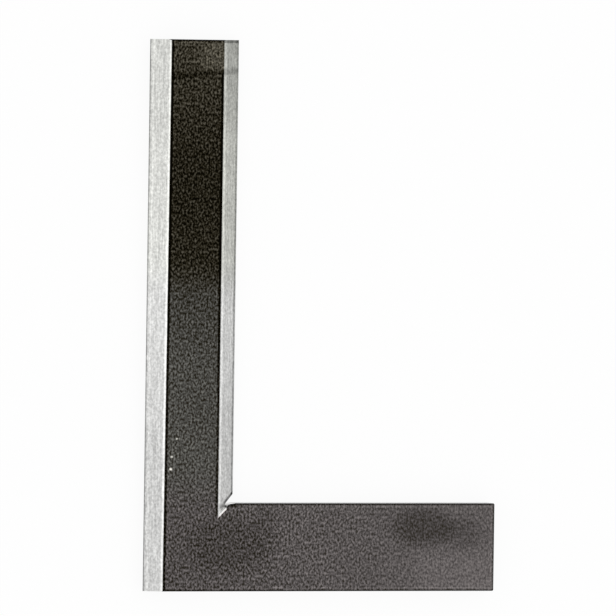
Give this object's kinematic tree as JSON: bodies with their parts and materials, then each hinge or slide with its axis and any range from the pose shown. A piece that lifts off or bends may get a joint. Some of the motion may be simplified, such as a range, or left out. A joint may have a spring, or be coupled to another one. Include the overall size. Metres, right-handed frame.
{
  "type": "machinist square",
  "caption": "Flat knife-edge square for testing right angles: a plain leg and a longer bevelled blade, with a relief slot in the inner corner.",
  "frame": {"origin": "the corner of the outer right angle, level with the side face that the square lies on: the base plane y = 0 and the plane x = 0 that the outer knife edge touches meet on the vertical line through it", "axes": "+X along the leg from the outer knife edge to the leg's end, +Y along the blade from the base to its free end, +Z through the thickness"},
  "size_m": [0.1, 0.15, 0.006],
  "materials": {
    "ground_steel": "hardened steel: dark satin side faces, bright ground bevels and measuring faces"
  },
  "bodies": {
    "root": {"machinist_square": "ground_steel"}
  },
  "joints": []
}
